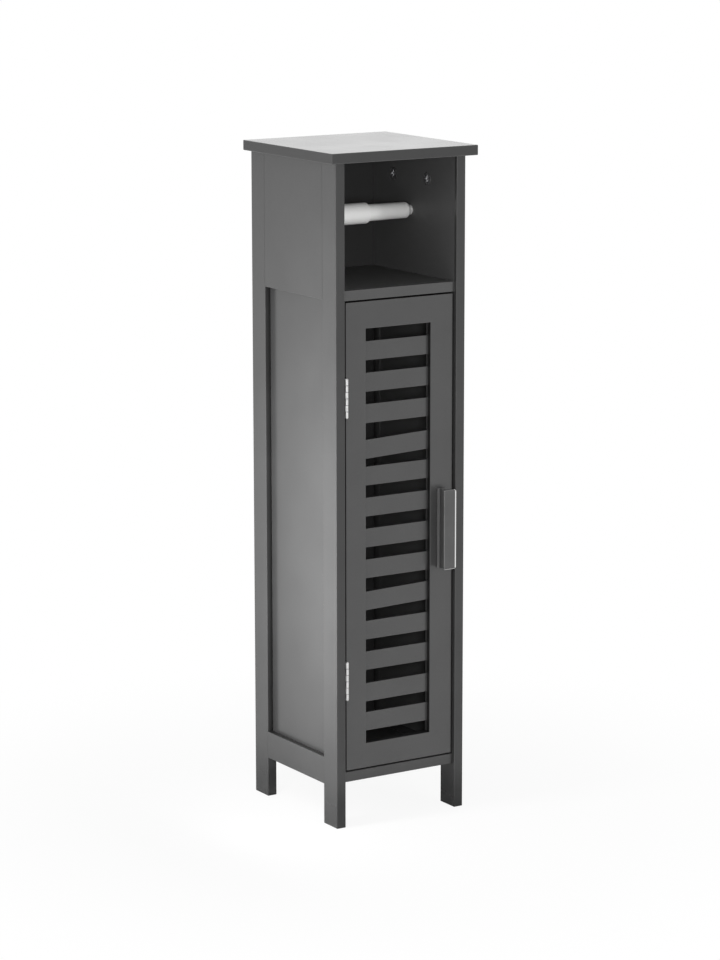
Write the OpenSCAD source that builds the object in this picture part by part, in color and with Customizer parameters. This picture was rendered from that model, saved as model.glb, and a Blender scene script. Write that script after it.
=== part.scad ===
/* [Cabinet] */
// Height from the floor to the top face
cabinet_h = 800; // [740:5:900]
// Width across the outside of the two sides
carcass_w = 178; // [170:1:220]
// Depth from the front edges of the sides to the wall
carcass_d = 190; // [180:1:230]
// Thickness of the sides, the shelf and the bottom board
board_t = 12; // [12:0.5:15]

/* [Top] */
// Thickness of the top
top_t = 12; // [11:0.5:20]
// How far the top stands out past each side
top_side_overhang = 11; // [0:1:25]
// How far the top stands out past the front edges of the sides
top_front_overhang = 10; // [0:1:20]

/* [Sides] */
// Width of each upright of the side frames
stile_w = 30; // [28:1:40]
// How far the lower rail hangs below the bottom board
rail_drop = 5.5; // [0:0.5:20]
// How far the lower rail stands up past the bottom board
rail_rise = 15.5; // [14:0.5:40]
// Thickness of the sunk side panel
side_panel_t = 4.5; // [3:0.5:6]
// How far the side panel's edges reach into their rabbets
side_panel_lap = 6; // [4:0.5:7]

/* [Boards] */
// Height of the bottom board's underside above the floor
bottom_z = 54; // [40:1:100]
// Clear height of the roll compartment
roll_space_h = 148; // [140:1:180]
// How far the shelf, the bottom board and the door sit behind the front edges of the sides
front_setback = 4.5; // [1:0.5:8]
// Thickness of the back panel
back_panel_t = 3; // [2.5:0.5:4]
// How far the back panel sits in front of the rear edges
back_inset = 6; // [5:0.5:7]
// Depth of the grooves that hold the back panel
back_groove = 5; // [3:0.5:6]

/* [Door] */
// Gap round the closed door at its latch side, its top and its bottom
door_gap = 2; // [1.5:0.1:3]
// Thickness of the door
door_t = 12; // [12:0.5:14]
// Width of the door's latch-side upright
latch_stile_w = 31.2; // [28:0.2:34]
// Width of the door's hinge-side upright
hinge_stile_w = 27.4; // [26:0.2:34]
// Height of the door's top rail
door_top_rail_h = 32; // [25:1:60]
// Height of the door's bottom rail
door_bottom_rail_h = 30; // [25:1:60]
// Number of slats
slat_count = 13; // [8:1:14]
// Height of a slat
slat_h = 22.5; // [15:0.5:24]
// Thickness of a slat
slat_t = 4; // [3:0.5:5]
// How far the slats sit behind the door's face
slat_setback = 5; // [3:0.5:5.5]
// Depth of the grooves that hold the slats and the rails' tongues
slat_groove = 6; // [4:0.5:8]
// How far all the slats sit below even spacing
slat_settle = 1; // [0:0.5:3]

/* [Hinges] */
// Height of a hinge
hinge_h = 46; // [40:1:60]
// Distance from each end of the door to the middle of its hinge
hinge_from_end = 110.5; // [60:0.5:140]
// Number of knuckles in a hinge barrel
knuckle_count = 6; // [4:2:8]
// Gap between the closed door and the side that it hangs on
hinge_gap = 4; // [3.6:0.1:4.4]
// Diameter of the hinge barrel
barrel_d = 3.6; // [3.6:0.1:4.2]
// Diameter of the hinge pin
hinge_pin_d = 1.8; // [1.6:0.1:2]
// How far the leaves stop short of the door's back face
leaf_margin = 1.9; // [1:0.1:2.5]
// Distance between the two screws of a leaf
leaf_screw_spread = 28; // [20:1:32]

/* [Handle] */
// Height of the handle
handle_h = 96; // [80:1:128]
// How far the handle stands out from the door's face
handle_reach = 16.5; // [14:0.5:24]
// Width of the handle's front plate
handle_plate_w = 16.7; // [14:0.1:20]
// Thickness of the handle's front plate
handle_plate_t = 3.2; // [3.2:0.1:4]
// Thickness of the web between the handle's foot and its front plate
handle_web_t = 3; // [2:0.5:4]
// How far the handle's web sits in from the edges of the foot and the plate
handle_web_inset = 2; // [1.5:0.5:3]
// Width of the handle's foot
handle_foot_w = 12; // [11:0.5:14]
// Thickness of the handle's foot
handle_foot_t = 2; // [1.5:0.5:3]
// Distance from the door's latch edge to the handle's hinge-side edge
handle_from_edge = 21.5; // [18:0.5:23]
// Distance between the two screws of the handle
handle_screw_spacing = 64; // [48:1:70]
// Diameter of the screw bosses in the handle
handle_boss_d = 7; // [6:0.5:8]

/* [Roll spindle] */
// Distance from the top's underside down to the spindle's axis
spindle_drop = 73; // [65:0.5:80]
// Distance from the rear edge of a side to the spindle's axis
spindle_from_back = 90; // [80:1:100]
// Outer diameter of the spindle's thick tube
barrel_tube_d = 25; // [24:0.5:30]
// Outer diameter of the spindle's thin tube
plunger_d = 20; // [18:0.5:20]
// Length of the thick tube from the side's inner face
barrel_tube_len = 91.5; // [80:0.5:105]
// How far the thin tube reaches into the thick tube
tube_overlap = 44; // [35:1:50]
// Length of the taper at each end of the spindle
nose_len = 7; // [6:0.5:12]
// Diameter of the nubs that sit in the sides
nub_d = 11.5; // [9:0.5:13]
// Length of a nub inside the side
nub_len = 5; // [4:0.5:6]
// Wall thickness of the thin tube
plunger_wall = 1.8; // [1.5:0.1:2.5]
// Diameter of the spring's wire
spring_wire_d = 1.2; // [0.8:0.1:1.4]
// Number of turns of the spring
spring_turns = 9; // [5:1:12]

/* [Fittings] */
// Diameter of the cam locks
cam_d = 15; // [14:0.5:15]
// Distance from the top's underside to the middle of its cam locks
top_cam_reach = 33; // [30:1:36]
// Distance from the sides' inner faces to the middle of the cam locks below the shelf and the bottom board
low_cam_reach = 24; // [24:1:34]
// Distance from the front edge of a side to the front cam lock of the top
top_cam_from_front = 63; // [55:1:70]
// Distance from the rear edge of a side to the rear cam lock of the top
top_cam_from_back = 53; // [50:1:60]
// Distance from an upright's inner edge to the cam bolts of the shelf and the bottom board
low_cam_from_edge = 10; // [10:0.5:12]
// Diameter of the cam bolts' thread
bolt_thread_d = 5; // [4:0.5:5]
// Length of the cam bolts' thread
bolt_thread_len = 10; // [8:0.5:10]
// Diameter of the cam bolts' shank
bolt_shank_d = 4; // [3:0.5:4]
// Diameter of the cam bolts' head
bolt_head_d = 6; // [5:0.5:6]
// Diameter of the dowels
dowel_d = 6; // [5:0.5:6]
// Length of the dowels in the side frames
dowel_len = 30; // [20:1:30]
// Length of the dowels between the sides and the top
top_dowel_len = 20; // [16:1:24]
// How far those dowels reach up into the top
top_dowel_rise = 8; // [6:0.5:8]
// Diameter of the small wood screws
screw_d = 3; // [2.5:0.1:3]
// Head diameter of the small wood screws
screw_head_d = 5.6; // [5:0.1:6]
// Length of the screws that go into a side
side_screw_len = 10; // [8:0.5:10]
// Length of the screws that go into the door's edge
door_screw_len = 12; // [10:0.5:16]
// Diameter of the screws that hold the handle
handle_screw_d = 4; // [3:0.5:4]
// Head diameter of the screws that hold the handle
handle_screw_head_d = 8; // [7:0.5:9]

/* [Magnetic catch] */
// Distance from the shelf's underside down to the middle of the catch
catch_from_shelf = 48; // [35:1:120]
// Height of the catch's case
catch_case_h = 26; // [22:1:30]
// Height of the catch's screwed flange
catch_flange_h = 44; // [42:1:50]
// How far the catch's case stands out from the side
catch_case_w = 14; // [12:1:16]
// Depth of the catch's case from front to back
catch_case_d = 11.5; // [10:0.5:13]
// Thickness of the catch's flange
catch_flange_t = 2.2; // [1.5:0.1:3]
// Height of the magnet
magnet_h = 20; // [14:1:21]
// Width of the magnet
magnet_w = 8; // [6:0.5:9]
// Thickness of the strike plate on the door
strike_t = 1; // [0.8:0.1:1.2]

/* [Fits] */
// Play round panels, slats, dowels and fittings in their seats
seat_play = 0.1; // [0.05:0.05:0.2]
// Radial play of a turning or sliding fit
turn_play = 0.06; // [0.03:0.01:0.1]
// Gap between faces that move past each other
swing_play = 0.3; // [0.2:0.05:0.4]

/* [Hidden] */
$fn = 48;
over = 1;       // how far a cut runs past the face that it opens in
weld = 0.01;    // how far two shapes of one solid run into each other

// Slats that don't sit where they should: number from the top, drop of the left end, drop of the right end
slipped_slats = [[4, 5.4, 1.9], [9, 1.7, -0.8], [12, 1.5, 1.2]];

// Levels and planes of the carcass. The origin is on the floor, under the middle of the top.
top_z = cabinet_h - top_t;
back_y = (carcass_d + top_front_overhang) / 2;
front_y = back_y - carcass_d;
side_out_x = carcass_w / 2;
side_in_x = side_out_x - board_t;
side_mid_x = side_out_x - board_t / 2;
shelf_z = top_z - roll_space_h - board_t;
shelf_mid_z = shelf_z + board_t / 2;
bottom_mid_z = bottom_z + board_t / 2;
bottom_top_z = bottom_z + board_t;
rail_z = bottom_z - rail_drop;
rail_top_z = bottom_top_z + rail_rise;
front_joint_y = front_y + stile_w;
back_joint_y = back_y - stile_w;
board_front_y = front_y + front_setback;
back_panel_y = back_y - back_inset - back_panel_t;

// Places of the fittings
top_cam_ys = [front_y + top_cam_from_front, back_y - top_cam_from_back];
low_cam_ys = [front_joint_y - low_cam_from_edge, back_joint_y + low_cam_from_edge];
cam_below_bolt = 3.5;
cam_depth = board_t / 2 + cam_below_bolt;
cam_recess = 1.6;
bolt_head_len = 3;
bolt_hole_d = bolt_head_d + 1;
dowel_from_shelf = 32;
dowel_from_top = 53;
rail_dowel_z = (bottom_mid_z + bolt_thread_d / 2 + rail_top_z - side_panel_lap) / 2;
side_dowel_zs = [shelf_z + dowel_from_shelf, top_z - dowel_from_top, rail_dowel_z];
top_dowel_ys = [front_y + stile_w / 2, back_y - stile_w / 2];

// Door
door_left_x = -side_in_x + hinge_gap;
door_right_x = side_in_x - door_gap;
door_bottom_z = bottom_top_z + door_gap;
door_top_z = shelf_z - door_gap;
door_mid_z = (door_bottom_z + door_top_z) / 2;
door_face_y = board_front_y;
door_back_y = door_face_y + door_t;
open_left_x = door_left_x + hinge_stile_w;
open_right_x = door_right_x - latch_stile_w;
open_bottom_z = door_bottom_z + door_bottom_rail_h;
open_top_z = door_top_z - door_top_rail_h;
slat_face_y = door_face_y + slat_setback;
slot_h = (open_top_z - open_bottom_z - slat_count * slat_h) / (slat_count + 1);
slat_end_gap = 0.6;
slat_len = open_right_x - open_left_x + 2 * (slat_groove - slat_end_gap);

// Hinges
hinge_x = -side_in_x + hinge_gap / 2;
barrel_swing_r = barrel_d / 2 + swing_play;
hinge_y = front_y - sqrt(max(0, pow(barrel_swing_r, 2) - pow(hinge_gap / 2, 2)));
hinge_zs = [door_top_z - hinge_from_end, door_bottom_z + hinge_from_end];
knuckle_h = hinge_h / knuckle_count;
leaf_t = (barrel_d - hinge_pin_d) / 2;
leaf_reach = door_back_y - leaf_margin - hinge_y;
leaf_screw_y = door_face_y + door_t / 2 - hinge_y;
screw_head_h = 1.6;
pin_head_t = 0.6;
pin_head_d = barrel_d - 0.8;

// Handle
handle_x = door_right_x - handle_from_edge;
handle_boss_x = handle_web_inset + handle_web_t + handle_boss_d / 2 - 1;
handle_boss_reach = 7.5;
handle_boss_len = handle_foot_t + handle_boss_reach;
handle_boss_end_t = 1.5;
handle_thread_len = handle_boss_len - handle_boss_end_t;
handle_screw_head_t = 2.4;
handle_screw_reach = door_t + handle_thread_len - swing_play;
handle_screw_play = 0.25;
plate_near_r = 1.2;
plate_far_r = 3;

// Spindle
spindle_y = back_y - spindle_from_back;
spindle_z = top_z - spindle_drop;
plunger_bore_d = plunger_d - 2 * plunger_wall;
barrel_bore_d = plunger_d + 2 * turn_play;
spindle_end_wall = 3;
nose_shoulder_len = nose_len / 2;
nose_shoulder_swell = 0.3;
barrel_lip = 1;
plunger_len = 2 * side_in_x - barrel_tube_len + tube_overlap;
spring_room = barrel_tube_len - tube_overlap - nose_len - spindle_end_wall;
spring_r = plunger_d / 2 - spring_wire_d;
spring_rise = spring_room - spring_wire_d - 2 * swing_play;
spring_steps = 16;
wire_sides = 6;

// Catch
catch_z = shelf_z - catch_from_shelf;
magnet_front_y = door_back_y + strike_t + swing_play;
magnet_proud = 0.5;
magnet_depth = 9;
catch_wall = 2;
catch_front_y = magnet_front_y + magnet_proud;
catch_back_y = catch_front_y + catch_case_d;
catch_screw_spread = (catch_case_h + catch_flange_h) / 2;
catch_screw_margin = 0.6;
catch_screw_y = catch_front_y + screw_head_d / 2 + catch_screw_margin;
magnet_x = side_in_x - catch_flange_t - catch_wall - magnet_w / 2;
strike_side_margin = 1;
strike_w = magnet_w + 2 * strike_side_margin;
strike_margin = 7;
strike_h = magnet_h + 2 * strike_margin;
strike_screw_cover = 2;
strike_screw_len = door_t - strike_screw_cover;

function slat_name(i) = str("slat_", i < 10 ? "0" : "", i);

// Shared shapes

module block(low, high) translate(low) cube(high - low);

// A right-hand shape and its mirror image on the left side
module on_both_sides() {
    children();
    mirror([1, 0, 0]) children();
}

// Countersunk wood screw along -Z, with its head's face at z = 0. A negative play makes its hole.
module wood_screw(length, play) {
    translate([0, 0, -screw_head_h])
        cylinder(d1 = screw_d - 2 * play, d2 = screw_head_d - 2 * play, h = screw_head_h - max(play, 0));
    translate([0, 0, -length + play])
        cylinder(d = screw_d - 2 * play, h = length - screw_head_h - play + weld);
}

// Screwdriver cross, cut from the face at z = 0
module cross_recess(width, depth) {
    for (turn = [0, 90])
        rotate(turn)
            translate([-width / 2, -width / 8, -depth])
                cube([width, width / 4, depth + over]);
}

module dowel(length, play) cylinder(d = dowel_d - 2 * play, h = length - 2 * play, center = true);

// Cam bolt: its thread goes up from the joint at z = 0, and its head hangs reach below
module cam_bolt(reach) {
    cylinder(d = bolt_thread_d - 2 * seat_play, h = bolt_thread_len - seat_play);
    translate([0, 0, -reach]) cylinder(d = bolt_shank_d, h = reach + weld);
    translate([0, 0, -reach - bolt_head_len / 2]) cylinder(d = bolt_head_d, h = bolt_head_len);
}

module cam_bolt_hole(reach) {
    cylinder(d = bolt_thread_d, h = bolt_thread_len);
    translate([0, 0, -reach - bolt_head_len]) cylinder(d = bolt_hole_d, h = reach + bolt_head_len + weld);
}

// Cam lock with its face at z = 0 and the bolt coming in along +X
module cam_lock() {
    difference() {
        translate([0, 0, -cam_depth + seat_play])
            cylinder(d = cam_d - 2 * seat_play, h = cam_depth - 2 * seat_play);
        translate([-bolt_head_len, 0, -board_t / 2])
            rotate([0, 90, 0])
                cylinder(d = bolt_head_d + 2 * swing_play, h = cam_d);
        translate([0, 0, -seat_play]) cross_recess(cam_d / 2, cam_recess);
    }
}

module cam_seat() translate([0, 0, -cam_depth]) cylinder(d = cam_d, h = cam_depth + over);

// Right-hand places of the fittings

module at_top_bolts() for (y = top_cam_ys) translate([side_mid_x, y, top_z]) children();

module at_top_cams()
    for (y = top_cam_ys) translate([side_in_x, y, top_z - top_cam_reach]) rotate([0, -90, 0]) children();

module at_low_bolts(z) for (y = low_cam_ys) translate([side_in_x, y, z]) rotate([0, 90, 0]) children();

module at_low_cams(z)
    for (y = low_cam_ys) translate([side_in_x - low_cam_reach, y, z]) rotate([180, 0, 0]) children();

module at_top_dowels()
    for (y = top_dowel_ys)
        translate([side_mid_x, y, top_z + top_dowel_rise - top_dowel_len / 2]) children();

module at_side_dowels()
    for (y = [front_joint_y, back_joint_y], z = side_dowel_zs)
        translate([side_mid_x, y, z]) rotate([90, 0, 0]) children();

// Rabbet that the side panel lies in, and groove that the back panel slides in
module side_panel_seat() {
    block([side_in_x - over, front_joint_y - side_panel_lap, rail_top_z - side_panel_lap],
          [side_in_x + side_panel_t, back_joint_y + side_panel_lap, shelf_z + side_panel_lap]);
}

module back_panel_seat() {
    block([-side_in_x - back_groove, back_panel_y - seat_play, bottom_top_z - back_groove],
          [side_in_x + back_groove, back_panel_y + back_panel_t + seat_play, top_z + back_groove]);
}

// Carcass

module top_panel() color("#4a4a4c") difference() {
    block([-side_out_x - top_side_overhang, front_y - top_front_overhang, top_z],
          [side_out_x + top_side_overhang, back_y, cabinet_h]);
    on_both_sides() {
        at_top_bolts() cam_bolt_hole(top_cam_reach);
        at_top_dowels() dowel(top_dowel_len, 0);
    }
    back_panel_seat();
}

// An upright of the right-hand side frame, from y0 to y1
module side_stile(y0, y1) difference() {
    block([side_in_x, y0, 0], [side_out_x, y1, top_z]);
    side_panel_seat();
    back_panel_seat();
    at_side_dowels() dowel(dowel_len, 0);
    at_top_dowels() dowel(top_dowel_len, 0);
    for (z = [shelf_mid_z, bottom_mid_z]) at_low_bolts(z) cam_bolt_hole(low_cam_reach);
}

module front_stile() side_stile(front_y, front_joint_y);
module back_stile() side_stile(back_joint_y, back_y);

module upper_board() difference() {
    block([side_in_x, front_joint_y, shelf_z], [side_out_x, back_joint_y, top_z]);
    side_panel_seat();
    at_side_dowels() dowel(dowel_len, 0);
    at_top_bolts() cam_bolt_hole(top_cam_reach);
    at_top_cams() cam_seat();
    translate([side_in_x - over, spindle_y, spindle_z])
        rotate([0, 90, 0])
            cylinder(d = nub_d + 2 * turn_play, h = nub_len + swing_play + over);
}

module lower_rail() difference() {
    block([side_in_x, front_joint_y, rail_z], [side_out_x, back_joint_y, rail_top_z]);
    side_panel_seat();
    at_side_dowels() dowel(dowel_len, 0);
}

module side_panel() {
    block([side_in_x, front_joint_y - side_panel_lap + seat_play, rail_top_z - side_panel_lap + seat_play],
          [side_in_x + side_panel_t, back_joint_y + side_panel_lap - seat_play,
           shelf_z + side_panel_lap - seat_play]);
}

module left_front_stile() color("#464648") difference() {
    mirror([1, 0, 0]) front_stile();
    at_hinges() frame_leaf_screws(-seat_play);
}

module right_front_stile() color("#464648") difference() {
    front_stile();
    at_catch_screws() wood_screw(side_screw_len, -seat_play);
}

module left_back_stile() color("#464648") mirror([1, 0, 0]) back_stile();
module right_back_stile() color("#464648") back_stile();
module left_upper_board() color("#48484a") mirror([1, 0, 0]) upper_board();
module right_upper_board() color("#48484a") upper_board();
module left_lower_rail() color("#48484a") mirror([1, 0, 0]) lower_rail();
module right_lower_rail() color("#48484a") lower_rail();
module left_side_panel() color("#4c4c4e") mirror([1, 0, 0]) side_panel();

// The catch's screws may also go through the panel's edge, which lies over the upright
module right_side_panel() color("#4c4c4e") difference() {
    side_panel();
    at_catch_screws() wood_screw(side_screw_len, -seat_play);
}

// A board between the sides with its underside at z0, held by cam locks from below
module cross_board(z0, rear_y) difference() {
    block([-side_in_x, board_front_y, z0], [side_in_x, rear_y, z0 + board_t]);
    on_both_sides() {
        at_low_bolts(z0 + board_t / 2) cam_bolt_hole(low_cam_reach);
        at_low_cams(z0) cam_seat();
    }
}

module roll_shelf() color("#48484a") cross_board(shelf_z, back_panel_y - seat_play);

module bottom_board() color("#48484a") difference() {
    cross_board(bottom_z, back_y);
    back_panel_seat();
}

module back_panel() color("#3c3c3e")
    block([-side_in_x - back_groove + seat_play, back_panel_y, bottom_top_z - back_groove + seat_play],
          [side_in_x + back_groove - seat_play, back_panel_y + back_panel_t,
           top_z + back_groove - seat_play]);

module side_frame_dowels() color("burlywood")
    on_both_sides() at_side_dowels() dowel(dowel_len, seat_play);

module top_dowels() color("burlywood")
    on_both_sides() at_top_dowels() dowel(top_dowel_len, seat_play);

module cam_bolts() color("lightgray") on_both_sides() {
    at_top_bolts() cam_bolt(top_cam_reach);
    for (z = [shelf_mid_z, bottom_mid_z]) at_low_bolts(z) cam_bolt(low_cam_reach);
}

module cam_locks() color("silver") on_both_sides() {
    at_top_cams() cam_lock();
    for (z = [shelf_z, bottom_z]) at_low_cams(z) cam_lock();
}

// Hinges. Each is drawn about its pin, with the frame leaf on the -X side.

module at_hinges() for (z = hinge_zs) translate([hinge_x, hinge_y, z]) children();

module at_hinge(i) translate([hinge_x, hinge_y, hinge_zs[i]]) children();

// The knuckles of one leaf: every other segment of the barrel, from the given one down
module knuckles(first, diameter, play) {
    for (k = [first : 2 : knuckle_count - 1])
        translate([0, 0, hinge_h / 2 - (k + 1) * knuckle_h + play])
            cylinder(d = diameter, h = knuckle_h - 2 * play);
}

// A leaf on the -X side that owns the knuckles from the given one down
module hinge_leaf(first) difference() {
    union() {
        difference() {
            block([-hinge_gap / 2, 0, -hinge_h / 2], [-hinge_gap / 2 + leaf_t, leaf_reach, hinge_h / 2]);
            knuckles(1 - first, 2 * barrel_swing_r, -seat_play);
        }
        knuckles(first, barrel_d, seat_play / 2);
    }
    translate([0, 0, -hinge_h / 2 - over])
        cylinder(d = hinge_pin_d + 2 * turn_play, h = hinge_h + 2 * over);
}

module frame_leaf_screws(play) {
    for (end = [-1, 1])
        translate([-hinge_gap / 2 + leaf_t, leaf_screw_y, end * leaf_screw_spread / 2])
            rotate([0, 90, 0])
                wood_screw(side_screw_len, play);
}

module door_leaf_screws(play) {
    for (end = [-1, 1])
        translate([hinge_gap / 2 - leaf_t, leaf_screw_y, end * leaf_screw_spread / 2])
            rotate([0, -90, 0])
                wood_screw(door_screw_len, play);
}

module frame_leaf() color("gainsboro") difference() {
    hinge_leaf(0);
    frame_leaf_screws(-seat_play);
}

module door_leaf() color("gainsboro") difference() {
    mirror([1, 0, 0]) hinge_leaf(1);
    door_leaf_screws(-seat_play);
}

module hinge_pin() color("silver") {
    translate([0, 0, -hinge_h / 2]) cylinder(d = hinge_pin_d, h = hinge_h);
    for (end = [0, 1])
        mirror([0, 0, end]) translate([0, 0, hinge_h / 2]) cylinder(d = pin_head_d, h = pin_head_t);
}

module hinge_frame_screws() color("silver") at_hinges() difference() {
    frame_leaf_screws(seat_play / 2);
    for (end = [-1, 1])
        translate([-hinge_gap / 2 + leaf_t, leaf_screw_y, end * leaf_screw_spread / 2])
            rotate([0, 90, 0])
                cross_recess(screw_d, screw_head_h / 2);
}

module hinge_door_screws() color("silver") at_hinges() difference() {
    door_leaf_screws(seat_play / 2);
    for (end = [-1, 1])
        translate([hinge_gap / 2 - leaf_t, leaf_screw_y, end * leaf_screw_spread / 2])
            rotate([0, -90, 0])
                cross_recess(screw_d, screw_head_h / 2);
}

// Door

module slat_channel() {
    block([open_left_x - slat_groove, slat_face_y - seat_play, door_bottom_z - over],
          [open_right_x + slat_groove, slat_face_y + slat_t + seat_play, door_top_z + over]);
}

module door_left_stile() color("#48484a") difference() {
    block([door_left_x, door_face_y, door_bottom_z], [open_left_x, door_back_y, door_top_z]);
    slat_channel();
    at_hinges() door_leaf_screws(-seat_play);
}

module door_right_stile() color("#48484a") difference() {
    block([open_right_x, door_face_y, door_bottom_z], [door_right_x, door_back_y, door_top_z]);
    slat_channel();
    at_handle_screws()
        translate([0, 0, -door_t - over])
            cylinder(d = handle_screw_d + 2 * handle_screw_play, h = door_t + 2 * over);
    at_strike_screw() wood_screw(strike_screw_len, -seat_play);
}

// A rail of the door, with a tongue at each end in the stiles' grooves
module door_rail(z0, z1) {
    block([open_left_x, door_face_y, z0], [open_right_x, door_back_y, z1]);
    block([open_left_x - slat_groove + seat_play, slat_face_y, z0],
          [open_right_x + slat_groove - seat_play, slat_face_y + slat_t, z1]);
}

module door_top_rail() color("#48484a") door_rail(open_top_z, door_top_z);
module door_bottom_rail() color("#48484a") door_rail(door_bottom_z, open_bottom_z);

// The drops of a slat's two ends
function slat_slip(i) =
    let (found = [for (s = slipped_slats) if (s[0] == i) [s[1], s[2]]])
    len(found) > 0 ? found[0] : [0, 0];

module slat(i) color("#48484a") {
    slip = slat_slip(i);
    tilt = atan2(slip[0] - slip[1], open_right_x - open_left_x);
    middle_z = open_top_z - slat_settle - i * slot_h - (i - 0.5) * slat_h - (slip[0] + slip[1]) / 2;
    translate([(open_left_x + open_right_x) / 2, slat_face_y + slat_t / 2, middle_z])
        rotate([0, -tilt, 0])
            cube([slat_len, slat_t, slat_h], center = true);
}

// Handle

module at_handle_screws()
    for (end = [-1, 1])
        translate([handle_x + handle_boss_x, door_back_y, door_mid_z + end * handle_screw_spacing / 2])
            rotate([-90, 0, 0])
                children();

// The front plate's outline, with a small round on the near edge and a wide one on the far edge
module handle_plate_outline() intersection() {
    translate([0, -handle_plate_t]) square([handle_plate_w, handle_plate_t]);
    union() {
        translate([plate_near_r, -handle_plate_t])
            square([handle_plate_w - plate_near_r - plate_far_r, handle_plate_t]);
        translate([0, plate_near_r - handle_plate_t])
            square([plate_near_r + weld, handle_plate_t - plate_near_r]);
        translate([plate_near_r, plate_near_r - handle_plate_t]) circle(plate_near_r);
        translate([handle_plate_w - plate_far_r, plate_far_r - handle_plate_t]) circle(plate_far_r);
    }
}

module handle() color("#303032") difference() {
    union() {
        translate([handle_x, door_face_y, door_mid_z])
            linear_extrude(handle_h, center = true) {
                translate([0, -handle_foot_t]) square([handle_foot_w, handle_foot_t]);
                translate([handle_web_inset, -handle_reach + handle_plate_t / 2])
                    square([handle_web_t, handle_reach - handle_plate_t / 2]);
                translate([0, handle_plate_t - handle_reach]) handle_plate_outline();
            }
        at_handle_screws()
            translate([0, 0, -door_t - handle_boss_len]) cylinder(d = handle_boss_d, h = handle_boss_len);
    }
    at_handle_screws()
        translate([0, 0, -door_t - handle_thread_len])
            cylinder(d = handle_screw_d, h = handle_thread_len + over);
}

module handle_screws() color("silver") at_handle_screws() difference() {
    union() {
        cylinder(d = handle_screw_head_d, h = handle_screw_head_t);
        translate([0, 0, -handle_screw_reach])
            cylinder(d = handle_screw_d - 2 * turn_play, h = handle_screw_reach + weld);
    }
    translate([0, 0, handle_screw_head_t]) cross_recess(handle_screw_head_d / 2, handle_screw_head_t / 2);
}

// Magnetic catch

module at_catch_screws()
    for (end = [-1, 1])
        translate([side_in_x - catch_flange_t, catch_screw_y, catch_z + end * catch_screw_spread / 2])
            rotate([0, -90, 0])
                children();

module magnet_block(play) {
    block([magnet_x - magnet_w / 2 + play, magnet_front_y, catch_z - magnet_h / 2 + play],
          [magnet_x + magnet_w / 2 - play, magnet_front_y + magnet_depth, catch_z + magnet_h / 2 - play]);
}

module catch_case() color("#d8d8d4") difference() {
    union() {
        block([side_in_x - catch_case_w, catch_front_y, catch_z - catch_case_h / 2],
              [side_in_x, catch_back_y, catch_z + catch_case_h / 2]);
        block([side_in_x - catch_flange_t, catch_front_y, catch_z - catch_flange_h / 2],
              [side_in_x, catch_back_y, catch_z + catch_flange_h / 2]);
    }
    magnet_block(0);
    at_catch_screws() wood_screw(side_screw_len, -seat_play);
}

module catch_magnet() color("#2b2b2d") magnet_block(seat_play);

module catch_screws() color("silver") at_catch_screws() difference() {
    wood_screw(side_screw_len, seat_play / 2);
    cross_recess(screw_d, screw_head_h / 2);
}

module at_strike_screw()
    translate([magnet_x, door_back_y + strike_t, catch_z]) rotate([-90, 0, 0]) children();

module strike_plate() color("gainsboro") difference() {
    block([magnet_x - strike_w / 2, door_back_y, catch_z - strike_h / 2],
          [magnet_x + strike_w / 2, door_back_y + strike_t, catch_z + strike_h / 2]);
    at_strike_screw() wood_screw(strike_screw_len, -seat_play);
}

module strike_screw() color("silver") at_strike_screw() difference() {
    wood_screw(strike_screw_len, seat_play / 2);
    cross_recess(screw_d, screw_head_h / 2);
}

// Roll spindle. Each tube is drawn along +Z from the inner face of its own side.

module at_left_wall() translate([-side_in_x, spindle_y, spindle_z]) rotate([0, 90, 0]) children();
module at_right_wall() translate([side_in_x, spindle_y, spindle_z]) rotate([0, -90, 0]) children();

// Outline of a nub and its nose, from the nub's end to the full radius of the tube
function nose_outline(tube_r) =
    let (nub_r = nub_d / 2, shoulder_r = nub_r + nose_shoulder_swell * (tube_r - nub_r))
    [[0, -nub_len],
     [nub_r, -nub_len],
     [nub_r, swing_play],
     [(nub_r + 2 * shoulder_r) / 3, (2 * swing_play + nose_shoulder_len) / 3],
     [shoulder_r, nose_shoulder_len],
     [tube_r, nose_len]];

module spindle_barrel() color("#e9e9e6") at_left_wall() difference() {
    rotate_extrude()
        polygon(concat(nose_outline(barrel_tube_d / 2),
                       [[barrel_tube_d / 2, barrel_tube_len - barrel_lip],
                        [barrel_tube_d / 2 - barrel_lip, barrel_tube_len],
                        [0, barrel_tube_len]]));
    translate([0, 0, nose_len + spindle_end_wall])
        cylinder(d = barrel_bore_d, h = barrel_tube_len);
}

module spindle_plunger() color("#dededa") at_right_wall() difference() {
    rotate_extrude()
        polygon(concat(nose_outline(plunger_d / 2), [[plunger_d / 2, plunger_len], [0, plunger_len]]));
    translate([0, 0, nose_len + spindle_end_wall])
        cylinder(d = plunger_bore_d, h = plunger_len);
}

// Points round the spring's wire at a step along its coil
function spring_ring(step) =
    let (share = step / (spring_turns * spring_steps), turn = 360 * spring_turns * share)
    [for (side = [0 : wire_sides - 1])
        let (a = 360 * side / wire_sides, r = spring_r + spring_wire_d / 2 * cos(a))
        [r * cos(turn), r * sin(turn), spring_rise * share + spring_wire_d / 2 * sin(a)]];

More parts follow.
